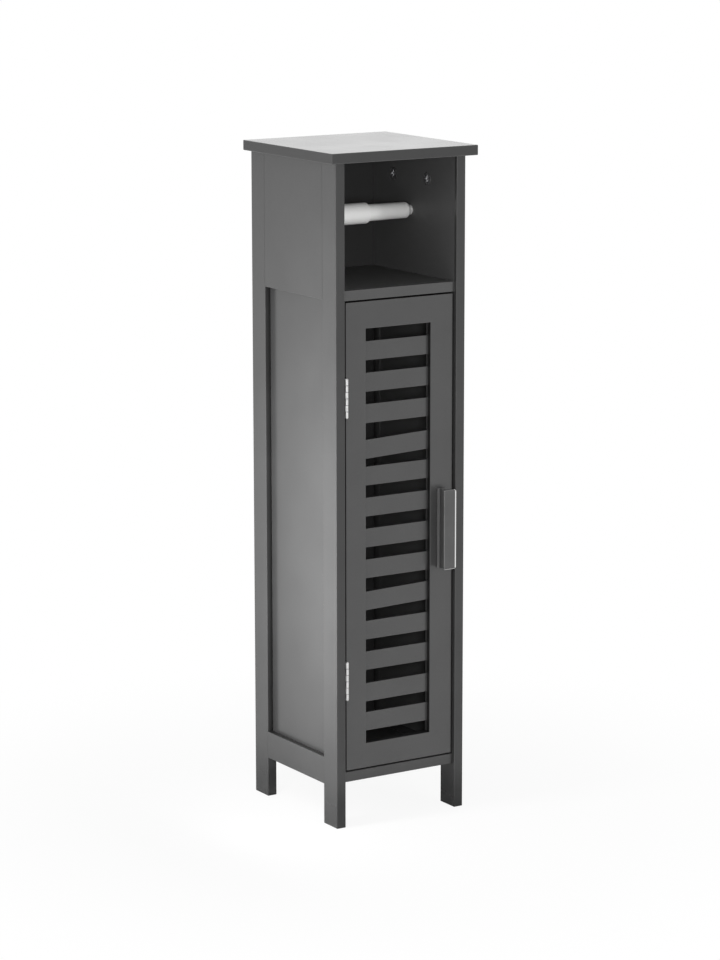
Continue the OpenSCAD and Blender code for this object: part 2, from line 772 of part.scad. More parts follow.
module spindle_spring() color("lightgray") at_left_wall() {
    rings = spring_turns * spring_steps;
    last = wire_sides * rings;
    points = [for (s = [0 : rings]) each spring_ring(s)];
    walls = [for (s = [0 : rings - 1], k = [0 : wire_sides - 1], half = [0, 1])
        let (a = wire_sides * s + k, b = wire_sides * s + (k + 1) % wire_sides)
        half == 0 ? [a, a + wire_sides, b + wire_sides] : [a, b + wire_sides, b]];
    caps = [for (k = [1 : wire_sides - 2], end = [0, 1])
        end == 0 ? [0, k, k + 1] : [last, last + k + 1, last + k]];
    translate([0, 0, nose_len + spindle_end_wall + swing_play + spring_wire_d / 2])
        polyhedron(points, concat(walls, caps));
}

top_panel();
left_front_stile();
left_back_stile();
left_upper_board();
left_lower_rail();
left_side_panel();
right_front_stile();
right_back_stile();
right_upper_board();
right_lower_rail();
right_side_panel();
roll_shelf();
bottom_board();
back_panel();
side_frame_dowels();
top_dowels();
cam_bolts();
cam_locks();
at_hinge(0) frame_leaf();  // upper_hinge_frame_leaf
at_hinge(1) frame_leaf();  // lower_hinge_frame_leaf
at_hinge(0) hinge_pin();  // upper_hinge_pin
at_hinge(1) hinge_pin();  // lower_hinge_pin
hinge_frame_screws();
catch_case();
catch_magnet();
catch_screws();
door_left_stile();
door_right_stile();
door_top_rail();
door_bottom_rail();
at_hinge(0) door_leaf();  // upper_hinge_door_leaf
at_hinge(1) door_leaf();  // lower_hinge_door_leaf
hinge_door_screws();
handle();
handle_screws();
strike_plate();
strike_screw();
spindle_barrel();
spindle_spring();
spindle_plunger();
for (i = [1 : slat_count]) {
    slat(i);
}
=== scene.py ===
import math

import bmesh
import bpy
from mathutils import Matrix, Vector


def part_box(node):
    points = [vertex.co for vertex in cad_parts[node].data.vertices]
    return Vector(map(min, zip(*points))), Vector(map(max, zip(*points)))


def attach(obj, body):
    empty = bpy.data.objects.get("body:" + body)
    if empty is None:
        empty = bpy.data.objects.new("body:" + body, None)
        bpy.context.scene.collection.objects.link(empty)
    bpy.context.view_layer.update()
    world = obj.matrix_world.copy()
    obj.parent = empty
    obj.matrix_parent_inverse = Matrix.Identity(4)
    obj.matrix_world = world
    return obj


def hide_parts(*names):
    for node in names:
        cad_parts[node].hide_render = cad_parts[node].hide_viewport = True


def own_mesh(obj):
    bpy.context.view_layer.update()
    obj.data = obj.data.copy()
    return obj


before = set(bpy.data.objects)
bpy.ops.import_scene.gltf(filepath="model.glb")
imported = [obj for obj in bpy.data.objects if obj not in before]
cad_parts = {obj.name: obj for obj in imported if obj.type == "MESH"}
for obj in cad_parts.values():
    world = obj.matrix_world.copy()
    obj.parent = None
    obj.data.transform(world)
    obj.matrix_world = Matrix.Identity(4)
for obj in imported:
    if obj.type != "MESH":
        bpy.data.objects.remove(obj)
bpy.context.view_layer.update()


# ---------------------------------------------------------------------------------------------------------
# Side frames: two uprights, an upper board and a lower rail a side, in 12 mm painted fibreboard. They are
# glued edge to edge over dowels and sprayed as one, so their joints show only as hairlines in the paint.

EASED_EDGE = 0.0007
HAIRLINE = 0.00025
SAME_PLACE = 1e-5       # places closer than this are one


class Shade:
    """An output in a material's nodes. Python's operators on it add the Math nodes."""

    def __init__(self, tree, output):
        self.tree = tree
        self.output = output

    def node(self, kind, settings={}, sockets={}, output=0):
        """Adds a node: its settings first, then the value or the link of each socket."""
        made = self.tree.nodes.new(kind)
        for name, value in settings.items():
            setattr(made, name, value)
        for name, value in sockets.items():
            if isinstance(value, Shade):
                self.tree.links.new(value.output, made.inputs[name])
            else:
                made.inputs[name].default_value = value
        return Shade(self.tree, made.outputs[output])

    def maths(self, operation, first, second):
        return self.node("ShaderNodeMath", {"operation": operation}, {0: first, 1: second})

    def __add__(self, other):
        return self.maths("ADD", self, other)

    def __sub__(self, other):
        return self.maths("SUBTRACT", self, other)

    def __rsub__(self, other):
        return self.maths("SUBTRACT", other, self)

    def __mul__(self, other):
        return self.maths("MULTIPLY", self, other)

    __radd__ = __add__
    __rmul__ = __mul__

    def noise(self, scale, detail=2.0):
        """A cloudy pattern at this place, with so many turns a metre."""
        return self.node("ShaderNodeTexNoise", {}, {"Vector": self, "Scale": scale, "Detail": detail})

    def stretched(self, along_x, along_y, along_z):
        """This place, with its pattern drawn out by a share of one along each axis."""
        return self.node("ShaderNodeMapping", {}, {"Vector": self, "Scale": (along_x, along_y, along_z)})

    def height(self):
        return self.node("ShaderNodeSeparateXYZ", {}, {0: self}, 2)

    def between(self, start, end):
        """0 below start, 1 above end, and a smooth change between them."""
        return self.node("ShaderNodeMapRange", {"interpolation_type": "SMOOTHSTEP"},
                         {"Value": self, "From Min": start, "From Max": end})

    def tint(self, none, full):
        """The colour between two others that this mask gives."""
        return self.node("ShaderNodeMix", {"data_type": "RGBA"}, {0: self, 6: none, 7: full}, 2)

    def bump(self, height, strength=1.0):
        """A surface that this pattern raises by so many metres."""
        return self.node("ShaderNodeBump", {}, {"Height": self, "Distance": height, "Strength": strength})

    def mark(self, name):
        """A value that the piece's own faces carry."""
        return self.node("ShaderNodeAttribute", {"attribute_name": name}, output=2)


def finish(name, fixed, pattern):
    """A material: the sockets that are the same all over, and a pattern of the rest by place."""
    made = bpy.data.materials.new(name)
    made.use_nodes = True
    tree = made.node_tree
    shader = tree.nodes["Principled BSDF"]
    for socket, value in fixed.items():
        shader.inputs[socket].default_value = value
    place = Shade(tree, tree.nodes.new("ShaderNodeTexCoord").outputs["Object"])
    for socket, shade in pattern(place).items():
        tree.links.new(shade.output, shader.inputs[socket])
    return made


def sprayed_charcoal(place):
    """Satin paint. Eased edges: wear and a painted highlight. Sawn edges: soaked-up paint and painted shade. Near
    the floor: painted shade. Inside: duller, with painted light.
    """
    mottle = place.noise(14.0, 5.0)
    stipple = place.noise(700.0)
    wear_and_painted_light = place.mark("eased")
    sawn_and_shaded = place.mark("sawn_edge_and_shade")
    inside = place.mark("inside")
    # Darker towards the floor: painted shade round the feet of the legs.
    painted_floor_shade = 1.0 - place.height().between(0.0, 0.07)
    shade = 0.3 + 0.18 * mottle + 0.1 * stipple + 0.12 * wear_and_painted_light - 0.24 * sawn_and_shaded - 0.3 * painted_floor_shade + 0.42 * inside
    return {
        "Base Color": shade.tint((0.010, 0.010, 0.010, 1), (0.110, 0.110, 0.110, 1)),
        "Roughness": 0.17 + 0.1 * mottle + 0.12 * sawn_and_shaded + 0.3 * inside,
        "Normal": (stipple + 0.6 * sawn_and_shaded * place.noise(2600.0)).bump(0.00002),
    }


charcoal = finish("charcoal_paint", {"IOR": 1.5}, sprayed_charcoal)


def copy_of(node, join_flats=True):
    """A CAD node's shape as one closed shell, with the triangles of each flat face joined."""
    mesh = bmesh.new()
    mesh.from_mesh(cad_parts[node].data)
    bmesh.ops.remove_doubles(mesh, verts=mesh.verts, dist=1e-6)
    if join_flats:
        bmesh.ops.dissolve_limit(mesh, angle_limit=math.radians(1), verts=mesh.verts, edges=mesh.edges)
    return mesh


def cut_through(mesh, axis, place, parts=()):
    """Cuts some parts of a mesh, or all of it, by the plane across an axis at this place on it."""
    way = Matrix.Identity(3)[axis]
    bmesh.ops.bisect_plane(mesh, geom=list(parts) or mesh.verts[:] + mesh.edges[:] + mesh.faces[:],
                           dist=1e-6, plane_co=way * place, plane_no=way)


def round_edges(mesh, edges, radius, segments=3, wear_and_painted_light=1.0):
    """Rounds these edges off and marks the new faces: paler in the finishes for wear and a painted highlight, and
    on hinge knuckles dark as painted shade.
    """
    eased = mesh.faces.layers.float.get("eased") or mesh.faces.layers.float.new("eased")
    made = bmesh.ops.bevel(mesh, geom=edges, offset=radius, offset_type="OFFSET", segments=segments,
                           profile=0.5, affect="EDGES", material=-1, clamp_overlap=False)
    for face in made["faces"]:
        face[eased] = wear_and_painted_light


def sharp_edges(mesh, degrees=50):
    """The edges that turn outwards by more than this."""
    return [edge for edge in mesh.edges
            if edge.is_manifold and edge.is_convex and edge.calc_face_angle() > math.radians(degrees)]


def add_piece(name, mesh, material, body, slot, *nodes):
    """Makes a finished shell a piece that rides on a body and stands for its CAD nodes."""
    for face in mesh.faces:
        face.smooth = True
    data = bpy.data.meshes.new(name)
    mesh.to_mesh(data)
    mesh.free()
    data.set_sharp_from_angle(angle=math.radians(35))
    data.materials.append(material)
    made = bpy.data.objects.new(name, data)
    bpy.context.scene.collection.objects.link(made)
    made.modifiers.new("even_faces", "WEIGHTED_NORMAL").keep_sharp = True
    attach(made, body)
    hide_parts(*nodes)
    return made


# The room inside the cabinet, from the bottom board to the top and from the shelf's front edge to the back.
inner_low = Vector((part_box("left_upper_board")[1].x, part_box("roll_shelf")[0].y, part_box("bottom_board")[1].z))
inner_high = Vector((-inner_low.x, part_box("back_panel")[0].y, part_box("top_panel")[0].z))


def painted_board(node, neighbours=(), material=charcoal, eased=EASED_EDGE, edge_darkening=1.0):
    """A board with its outer edges eased, but only a hairline where it meets a neighbour.
    Its last argument says how much darker its sawn edges are painted, partly for the paint they soak up and partly
    as painted shade; below 0 it paints them lighter."""
    mesh = copy_of(node)
    low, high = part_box(node)
    touching = [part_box(other) for other in neighbours]
    # A cut where each neighbour ends leaves every edge either wholly glued or wholly free.
    least_strip = 0.001
    for corner in [corner for box in touching for corner in box]:
        for axis in range(3):
            if low[axis] + least_strip < corner[axis] < high[axis] - least_strip:
                cut_through(mesh, axis, corner[axis])

    def outer_edges():
        return [edge for edge in mesh.edges if sum(
            all(abs(vert.co[axis] - end[axis]) < SAME_PLACE for vert in edge.verts)
            for axis in range(3) for end in (low, high)) > 1]

    def glued(edge):
        middle = (edge.verts[0].co + edge.verts[1].co) / 2
        slack = 2 * SAME_PLACE
        return any(all(box[0][axis] - slack < middle[axis] < box[1][axis] + slack for axis in range(3))
                   for box in touching)

    sawn_edge_and_shade = mesh.faces.layers.float.new("sawn_edge_and_shade")
    inside = mesh.faces.layers.float.new("inside")
    sizes = high - low
    flat = min(range(3), key=lambda axis: sizes[axis])
    just_off = 0.005
    for face in mesh.faces:
        face.normal_update()
        face[sawn_edge_and_shade] = edge_darkening * (abs(face.normal[flat]) < 0.5)
        before = face.calc_center_median() + just_off * face.normal
        # Faces inside the cabinet are painted lighter and duller, most where they face sideways: painted light for
        # light that reaches in. The front uprights' faces beside the door stay dark.
        beside_door = "front" in node and before.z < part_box("roll_shelf")[1].z
        if not beside_door and all(inner_low[axis] < before[axis] < inner_high[axis] for axis in range(3)):
            face[inside] = abs(face.normal.x) + 0.4 * abs(face.normal.z)
    round_edges(mesh, [edge for edge in outer_edges() if not glued(edge)], eased)
    # What is left is glued. Where it shows outside the cabinet, the paint has a hairline over it.
    joints = [edge for edge in outer_edges() if not all(
        abs(vert.co.x) < inner_high.x + SAME_PLACE for vert in edge.verts)]
    if joints:
        round_edges(mesh, joints, HAIRLINE, 1, 0.0)
    return add_piece(node + "_board", mesh, material, "carcass", "dark_paint", node)


for side in ("left", "right"):
    uprights = [f"{side}_front_stile", f"{side}_back_stile"]
    infill = [f"{side}_upper_board", f"{side}_lower_rail"]
    painted_board(uprights[0], infill + ["top_panel", "roll_shelf"])
    painted_board(uprights[1], infill + ["top_panel"])
    for node in infill:
        painted_board(node, uprights + ["top_panel"])


# ---------------------------------------------------------------------------------------------------------
# Sunk side panels: 4.5 mm board let into rabbets on the inside of each side frame, so that the frame stands
# proud round them outside. The same paint covers them.

for side in ("left", "right"):
    painted_board(f"{side}_side_panel", eased=0.0003)


# ---------------------------------------------------------------------------------------------------------
# Shelf and bottom board: 12 mm painted fibreboard between the sides, held from below by cam locks. Their front
# edges sit a little behind the sides' edges.

every_upright = [f"{side}_{end}_stile" for end in ("front", "back") for side in ("left", "right")]
# The shelf's front edge is painted a little lighter, and the bottom board's edges a little less dark, than other
# sawn edges.
for node, edge_darkening in (("roll_shelf", -0.2), ("bottom_board", 0.5)):
    painted_board(node, every_upright, edge_darkening=edge_darkening)


# ---------------------------------------------------------------------------------------------------------
# Back panel: thin hardboard with a flat grey printed face, not sprayed with the rest. It slides into grooves
# in the back uprights, the top and the bottom board.

def flat_grey(place):
    mottle = place.noise(22.0, 4.0)
    fibre = place.stretched(1.0, 1.0, 0.3).noise(900.0)
    return {
        "Base Color": (0.6 * mottle + 0.4 * fibre).tint((0.031, 0.031, 0.031, 1), (0.054, 0.054, 0.054, 1)),
        "Roughness": 0.62 + 0.15 * mottle,
        "Normal": fibre.bump(0.00002),
    }


painted_board("back_panel", eased=0.0002, material=finish("flat_print", {"IOR": 1.35}, flat_grey))


# ---------------------------------------------------------------------------------------------------------
# Top: a 12 mm painted board that stands out past the sides and the front. It lies on the sides, located by
# dowels and pulled down by cam bolts from below.

painted_board("top_panel", ["left_back_stile", "right_back_stile"], eased=0.0009)


# ---------------------------------------------------------------------------------------------------------
# Dowels: plain beech pins in the joints of the side frames and between the sides and the top. They are
# glued in and don't show on the finished cabinet.

def planed_beech(place):
    grain = place.stretched(1.0, 0.06, 1.0).noise(1400.0, 4.0)
    fleck = place.noise(500.0)
    return {
        "Base Color": (0.7 * grain + 0.3 * fleck).tint((0.42, 0.27, 0.15, 1), (0.66, 0.48, 0.31, 1)),
        "Roughness": 0.55 + 0.2 * grain,
        "Normal": grain.bump(0.00004),
    }


def keep_nodes(material, *nodes):
    """Leaves these CAD nodes as they are, and gives them their finish."""
    for node in nodes:
        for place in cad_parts[node].material_slots:
            place.material = material


keep_nodes(finish("beech", {}, planed_beech), "side_frame_dowels", "top_dowels")


# ---------------------------------------------------------------------------------------------------------
# Cam locks and bolts: cast zinc discs that a screwdriver turns to pull the head of a steel bolt home. Two
# of them show in the right side above the spindle, the rest are under the boards.

def cast_zinc(place):
    grit = place.noise(1800.0, 3.0)
    dull = place.noise(120.0, 3.0)
    return {
        "Base Color": (0.5 * grit + 0.5 * dull).tint((0.40, 0.40, 0.41, 1), (0.64, 0.64, 0.65, 1)),
        "Roughness": 0.38 + 0.25 * dull,
        "Normal": grit.bump(0.00004),
    }


def plated_steel(place):
    bloom = place.noise(260.0, 3.0)
    return {
        "Base Color": bloom.tint((0.56, 0.56, 0.57, 1), (0.76, 0.76, 0.76, 1)),
        "Roughness": 0.28 + 0.14 * bloom,
        "Normal": place.noise(1500.0).bump(0.00001),
    }


cams = copy_of("cam_locks")
round_edges(cams, sharp_edges(cams, 70), 0.0006, 3)
add_piece("cam_lock_set", cams, finish("cast_zinc", {"Metallic": 1.0}, cast_zinc),
          "carcass", "zinc_alloy", "cam_locks")
zinc_plate = finish("zinc_plate", {"Metallic": 1.0}, plated_steel)
keep_nodes(zinc_plate, "cam_bolts")


# ---------------------------------------------------------------------------------------------------------
# Door: uprights and rails of 12 mm painted board round an opening. They were glued, filled and sprayed as
# one, so no joint shows in the frame, and a groove in the opening's sides takes the ends of the slats.

left_upright, right_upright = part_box("door_left_stile"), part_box("door_right_stile")
rail_over, rail_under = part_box("door_top_rail"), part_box("door_bottom_rail")
opening = ((left_upright[1].x, right_upright[0].x), (rail_under[1].z, rail_over[0].z))
slat_low, slat_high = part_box("slat_01")
groove_low, groove_high = slat_low.y - 0.0001, slat_high.y + 0.0001
groove_depth = 0.006
door = bmesh.new()
bmesh.ops.create_cube(door, size=1.0)
bmesh.ops.scale(door, verts=door.verts, vec=right_upright[1] - left_upright[0])
bmesh.ops.translate(door, verts=door.verts, vec=(left_upright[0] + right_upright[1]) / 2)
for axis, ends in zip((0, 2), opening):
    for end in ends:
        cut_through(door, axis, end)


def in_opening(point, slack):
    """Whether a point of the door is in its opening or on its edge."""
    return all(ends[0] - slack < point[axis] < ends[1] + slack for axis, ends in zip((0, 2), opening))


def opening_sides():
    return [face for face in door.faces
            if abs(face.normal.x) > 0.9 and in_opening(face.calc_center_median(), SAME_PLACE)]


middle = [face for face in door.faces
          if abs(face.normal.y) > 0.9 and in_opening(face.calc_center_median(), -0.001)]
bmesh.ops.delete(door, geom=middle, context="FACES")
bmesh.ops.bridge_loops(door, edges=[edge for edge in door.edges if edge.is_boundary])
for place in (groove_low, groove_high):
    parts = {part for face in opening_sides() for part in [face, *face.edges, *face.verts]}
    cut_through(door, 1, place, parts)
strips = [face for face in opening_sides() if groove_low < face.calc_center_median().y < groove_high]
bmesh.ops.inset_individual(door, faces=strips, thickness=0.0, depth=-groove_depth)
door.normal_update()
# The opening's sawn sides are painted twice as dark as the door's outer edges: painted shade in the recess round
# the slats.
sawn_edge_and_shade = door.faces.layers.float.new("sawn_edge_and_shade")
for face in door.faces:
    edge_darkening = 2.0 if in_opening(face.calc_center_median(), groove_depth + 0.001) else 1.0
    face[sawn_edge_and_shade] = edge_darkening * (abs(face.normal.y) < 0.5)
# Every sharp edge is eased but those of the grooves, where the slats go in.
round_edges(door, [edge for edge in sharp_edges(door) if not any(
    abs(vert.co.y - place) < 3e-4 for vert in edge.verts for place in (slat_low.y, slat_high.y))],
    EASED_EDGE)
add_piece("door_frame", door, charcoal, "door", "dark_paint",
          "door_left_stile", "door_right_stile", "door_top_rail", "door_bottom_rail")


# ---------------------------------------------------------------------------------------------------------
# Slats: 4 mm painted strips set back in the door's opening, with their ends in its grooves. A few of them
# have slipped a little in their glue and lie lower or aslant.

for node in sorted(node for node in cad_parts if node.startswith("slat_")):
    slat = copy_of(node)
    sawn_edge_and_shade = slat.faces.layers.float.new("sawn_edge_and_shade")
    for face in slat.faces:
        face[sawn_edge_and_shade] = float(abs(face.normal.y) < 0.5)
    round_edges(slat, sharp_edges(slat), 0.0005)
    add_piece(node + "_strip", slat, charcoal, "door", "dark_paint", node)


# ---------------------------------------------------------------------------------------------------------
# Hinges: folded steel leaves with three rolled knuckles each, bright plated and lightly tumbled, so their
# edges are soft. A domed pin holds each pair together, and countersunk screws hold the leaves.

def bright_plate(place):
    brushed = place.stretched(1.0, 1.0, 0.08).noise(2400.0, 3.0)
    bloom = place.noise(300.0)
    # Knuckle rims, marked above 1.2, are painted dark: painted shade in the gaps between the knuckles.
    painted_knuckle_shade = place.mark("eased").between(1.2, 1.8)
    shade = 0.4 * brushed + 0.6 * bloom - 1.0 * painted_knuckle_shade
    return {
        "Base Color": shade.tint((0.44, 0.44, 0.44, 1), (0.88, 0.88, 0.87, 1)),
        "Roughness": 0.28 + 0.18 * brushed,
        "Normal": brushed.bump(0.000012),
    }


hinge_plate = finish("hinge_plate", {"Metallic": 1.0}, bright_plate)
for height in ("upper", "lower"):
    for part, body in (("frame_leaf", "carcass"), ("door_leaf", "door")):
        node = f"{height}_hinge_{part}"
        leaf = copy_of(node)
        pin_low, pin_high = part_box(f"{height}_hinge_pin")
        centre = (pin_low + pin_high) / 2
        barrel_r = centre.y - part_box(node)[0].y
        # The rims of the knuckles are rounder than the leaf's other edges, and are painted dark as painted shade
        # in the gaps between knuckles.
        knuckle_rims = [edge for edge in sharp_edges(leaf, 60)
                        if abs(edge.verts[0].co.z - edge.verts[1].co.z) < 1e-6
                        and all(abs((vert.co - centre).xy.length - barrel_r) < 5e-5 for vert in edge.verts)]
        round_edges(leaf, knuckle_rims, 0.0005, 3, 2.0)
        round_edges(leaf, sharp_edges(leaf, 60), 0.00022, 2)
        add_piece(node + "_rolled", leaf, hinge_plate, body, "hinge_steel", node)
    node = f"{height}_hinge_pin"
    low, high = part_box(node)
    pin = bmesh.new()
    axis = (low + high) / 2
    radius, length = (high.x - low.x) / 2, high.z - low.z
    # From the pin's axis at its foot: shares of its head's radius, and heights. The other end mirrors them.
    outline = [(0.0, 0.0), (0.6, 0.0), (0.9, 0.0002), (1.0, 0.0006), (0.59, 0.0006)]
    outline += [(across, length - up) for across, up in reversed(outline)]
    verts = [pin.verts.new((axis.x + across * radius, axis.y, low.z + up)) for across, up in outline]
    chain = [pin.edges.new(pair) for pair in zip(verts, verts[1:])]
    bmesh.ops.spin(pin, geom=verts + chain, cent=axis, axis=(0, 0, 1), angle=math.tau, steps=32,
                   use_merge=True)
    bmesh.ops.remove_doubles(pin, verts=pin.verts, dist=1e-6)
    bmesh.ops.recalc_face_normals(pin, faces=pin.faces)
    add_piece(node + "_turned", pin, hinge_plate, "carcass", "hinge_steel", node)
keep_nodes(zinc_plate, "hinge_frame_screws", "hinge_door_screws")


# ---------------------------------------------------------------------------------------------------------
# Handle: a dark powder-coated edge pull. A flat foot lies on the door, a web stands up from it, and the
# front plate turns over to the right, where its rim is cut bright. Two screws from behind hold its bosses.

def powder_coat(place):
    peel = place.noise(420.0, 3.0)
    dust = place.noise(60.0, 4.0)
    wear_and_painted_light = place.mark("eased")
    bare = place.mark("bare")
    # Eased edges are paler: partly wear, partly a painted highlight.
    coat = (0.3 * dust + 0.7 * wear_and_painted_light).tint((0.045, 0.045, 0.045, 1), (0.150, 0.150, 0.150, 1))
    return {
        "Base Color": bare.tint(coat, (0.80, 0.80, 0.79, 1)),
        "Metallic": bare,
        "Roughness": 0.28 + 0.1 * dust,
        "Normal": peel.bump(0.00003),
    }


low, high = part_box("handle")
door_face = left_upright[0].y
foot_t, foot_w, web_t, web_inset, plate_t = 0.002, 0.012, 0.003, 0.002, 0.0032
bright_w, bright_corner, brim_r = 0.0014, 0.0032, 0.0005
boss_r, boss_len, boss_inset, boss_rise = 0.0035, 0.0095, 0.0075, 0.032
outline = [(low.x, door_face), (low.x + foot_w, door_face), (low.x + foot_w, door_face - foot_t),
           (low.x + web_inset + web_t, door_face - foot_t), (low.x + web_inset + web_t, low.y + plate_t),
           (high.x, low.y + plate_t), (high.x, low.y), (low.x, low.y), (low.x, low.y + plate_t),
           (low.x + web_inset, low.y + plate_t), (low.x + web_inset, door_face - foot_t),
           (low.x, door_face - foot_t)]
handle = bmesh.new()
section = handle.faces.new([handle.verts.new((x, y, low.z)) for x, y in outline])
swept = bmesh.ops.extrude_face_region(handle, geom=[section])
bmesh.ops.translate(handle, vec=(0, 0, high.z - low.z),
                    verts=[part for part in swept["geom"] if isinstance(part, bmesh.types.BMVert)])
bmesh.ops.recalc_face_normals(handle, faces=handle.faces)


def along(edge, axis):
    """Whether an edge runs along an axis."""
    way = (edge.verts[0].co - edge.verts[1].co).normalized()
    return abs(way[axis]) > 0.999


for end, radius in ((low.x, 0.0012), (high.x, 0.003)):
    corners = [edge for edge in handle.edges if along(edge, 1) and all(
        vert.co.y < low.y + plate_t + SAME_PLACE and abs(vert.co.x - end) < SAME_PLACE
        for vert in edge.verts)]
    round_edges(handle, corners, radius, 6)
cut_through(handle, 0, high.x - bright_w)
brim = [edge for edge in sharp_edges(handle, 40)
        if all(abs(vert.co.y - low.y) < SAME_PLACE for vert in edge.verts)]
round_edges(handle, brim, brim_r, 4)
bare = handle.faces.layers.float.new("bare")
for face in handle.faces:
    spot = face.calc_center_median()
    at_corner = spot.x > high.x - bright_corner and spot.z > high.z - bright_corner
    at_rim = spot.y < low.y + brim_r and (spot.x > high.x - bright_w or spot.z < low.z + brim_r)
    face[bare] = float(at_corner or at_rim)
# The inner corners are filleted. The foot's long edge gets a pale painted highlight, and the rest is only eased.
round_edges(handle, [edge for edge in handle.edges if edge.is_manifold and not edge.is_convex
                     and along(edge, 2) and edge.calc_face_angle() > 1.0], 0.0008, 3)
foot_edge = [edge for edge in sharp_edges(handle) if along(edge, 2) and all(
    abs(vert.co.x - low.x) < SAME_PLACE and abs(vert.co.y - door_face + foot_t) < SAME_PLACE
    for vert in edge.verts)]
round_edges(handle, foot_edge, 0.0005, 3, 2.2)
round_edges(handle, sharp_edges(handle), 0.0004, 3)
for end in (-1, 1):
    at_boss = Matrix.Translation((low.x + boss_inset, door_face - boss_len / 2,
                                  (low.z + high.z) / 2 + end * boss_rise))
    bmesh.ops.create_cone(handle, cap_ends=True, segments=48, radius1=boss_r, radius2=boss_r, depth=boss_len,
                          matrix=at_boss @ Matrix.Rotation(math.pi / 2, 4, "X"))
add_piece("handle_pull", handle, finish("powder_coat", {"IOR": 1.5}, powder_coat),
          "door", "handle_metal", "handle")
keep_nodes(zinc_plate, "handle_screws")


# ---------------------------------------------------------------------------------------------------------
# Magnetic catch: a moulded case screwed to the right upright behind the door, with a dark sintered magnet
# in it. A plated strike plate on the door's back meets the magnet.

def moulded_white(place):
    flow = place.noise(40.0, 3.0)
    return {
        "Base Color": flow.tint((0.58, 0.58, 0.56, 1), (0.68, 0.68, 0.66, 1)),
        "Roughness": 0.45 + 0.12 * flow,
        "Normal": place.noise(1600.0).bump(0.00002),
    }


def sintered_iron(place):
    grit = place.noise(2200.0, 4.0)
    return {
        "Base Color": grit.tint((0.030, 0.030, 0.032, 1), (0.075, 0.075, 0.078, 1)),
        "Roughness": 0.5 + 0.25 * grit,
        "Normal": grit.bump(0.00005),
    }


case = copy_of("catch_case")
round_edges(case, sharp_edges(case), 0.0004)
add_piece("catch_case_moulding", case, finish("catch_plastic", {}, moulded_white),
          "carcass", "catch_plastic", "catch_case")
keep_nodes(finish("sintered_iron", {"Metallic": 0.6}, sintered_iron), "catch_magnet")
keep_nodes(zinc_plate, "catch_screws", "strike_screw")
strike = copy_of("strike_plate")
round_edges(strike, sharp_edges(strike), 0.0002, 2)
add_piece("strike_plate_pressed", strike, zinc_plate, "door", "bright_steel", "strike_plate")


# ---------------------------------------------------------------------------------------------------------
# Roll spindle: two moulded white tubes, the thin one sliding in the thick one. A spring inside pushes them
# apart, so the nubs on their rounded noses stay in the sides' holes.

def moulded_spindle(place):
    flow = place.stretched(0.3, 1.0, 1.0).noise(90.0, 3.0)
    return {
        "Base Color": flow.tint((0.80, 0.80, 0.79, 1), (0.87, 0.87, 0.86, 1)),
        "Roughness": 0.28 + 0.08 * flow,
        "Normal": flow.bump(0.00003),
    }


spindle_white = finish("spindle_white", {"IOR": 1.46, "Coat Weight": 0.15}, moulded_spindle)


nub_reach, bore_end = 0.005, 0.01       # from the face of the side's wall


def nose(radius):
    """The outline of a nub and of the nose behind it, as lengths from the side's wall and radii."""
    nub = 0.00575
    swell = [(0.0003, 0.0), (0.002, 0.13), (0.0034, 0.29), (0.0044, 0.5), (0.0056, 0.76), (0.0066, 0.92),
             (0.0074, 0.98), (0.0084, 1.0)]
    return [(-nub_reach, 0.0), (-nub_reach, nub - 0.0006), (0.0006 - nub_reach, nub)] + [
        (reach, nub + share * (radius - nub)) for reach, share in swell]


def turned_tube(node, outline, body):
    """A tube turned round the spindle's axis from its outline of places along it and radii."""
    low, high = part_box(node)
    axis = (low + high) / 2
    tube = bmesh.new()
    verts = [tube.verts.new((reach, axis.y, axis.z + across)) for reach, across in outline]
    chain = [tube.edges.new(pair) for pair in zip(verts, verts[1:])]
    bmesh.ops.spin(tube, geom=verts + chain, cent=axis, axis=(1, 0, 0), angle=math.tau, steps=96,
                   use_merge=True)
    bmesh.ops.remove_doubles(tube, verts=tube.verts, dist=1e-6)
    bmesh.ops.recalc_face_normals(tube, faces=tube.faces)
    add_piece(node + "_moulded", tube, spindle_white, body, "white_plastic", node)


# Each outline runs round the end, back along the bore and in to the axis where the bore ends.
low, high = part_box("spindle_barrel")
wall = low.x + nub_reach
turned_tube("spindle_barrel", [(wall + reach, across) for reach, across in nose(0.0125)] + [
    (high.x - 0.0012, 0.0125), (high.x - 0.0004, 0.0122), (high.x, 0.0115), (high.x, 0.01048),
    (high.x - 0.0004, 0.01006), (wall + bore_end, 0.01006), (wall + bore_end, 0.0)], "spindle_barrel")
low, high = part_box("spindle_plunger")
wall = high.x - nub_reach
turned_tube("spindle_plunger", [(wall - reach, across) for reach, across in nose(0.0096)] + [
    (low.x + 0.044, 0.01), (low.x + 0.0003, 0.01), (low.x, 0.0097), (low.x, 0.0082),
    (wall - bore_end, 0.0082), (wall - bore_end, 0.0)], "spindle_plunger")
low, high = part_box("spindle_spring")
coil = add_piece("spindle_spring_coil", copy_of("spindle_spring", join_flats=False), zinc_plate,
                 "spindle_barrel", "bright_steel", "spindle_spring")
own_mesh(coil)


# ---------------------------------------------------------------------------------------------------------
# Floor: a plain pale matt studio floor. It keeps the cabinet's soft shadow, and runs out to the white of
# the background further off.

scene = bpy.context.scene
scene.view_settings.view_transform = "Standard"


def background_rays(tree):
    """1 for the rays that show the background: the camera's and see-through ones, then mirrored ones."""
    rays = tree.nodes.new("ShaderNodeLightPath")
    camera, through, mirrored = [Shade(tree, rays.outputs[f"Is {kind} Ray"])
                                 for kind in ("Camera", "Transmission", "Glossy")]
    return camera.maths("MAXIMUM", camera, through), mirrored


def pale_floor(place):
    return {"Base Color": place.noise(2.0).tint((0.74, 0.74, 0.74, 1), (0.78, 0.78, 0.78, 1))}


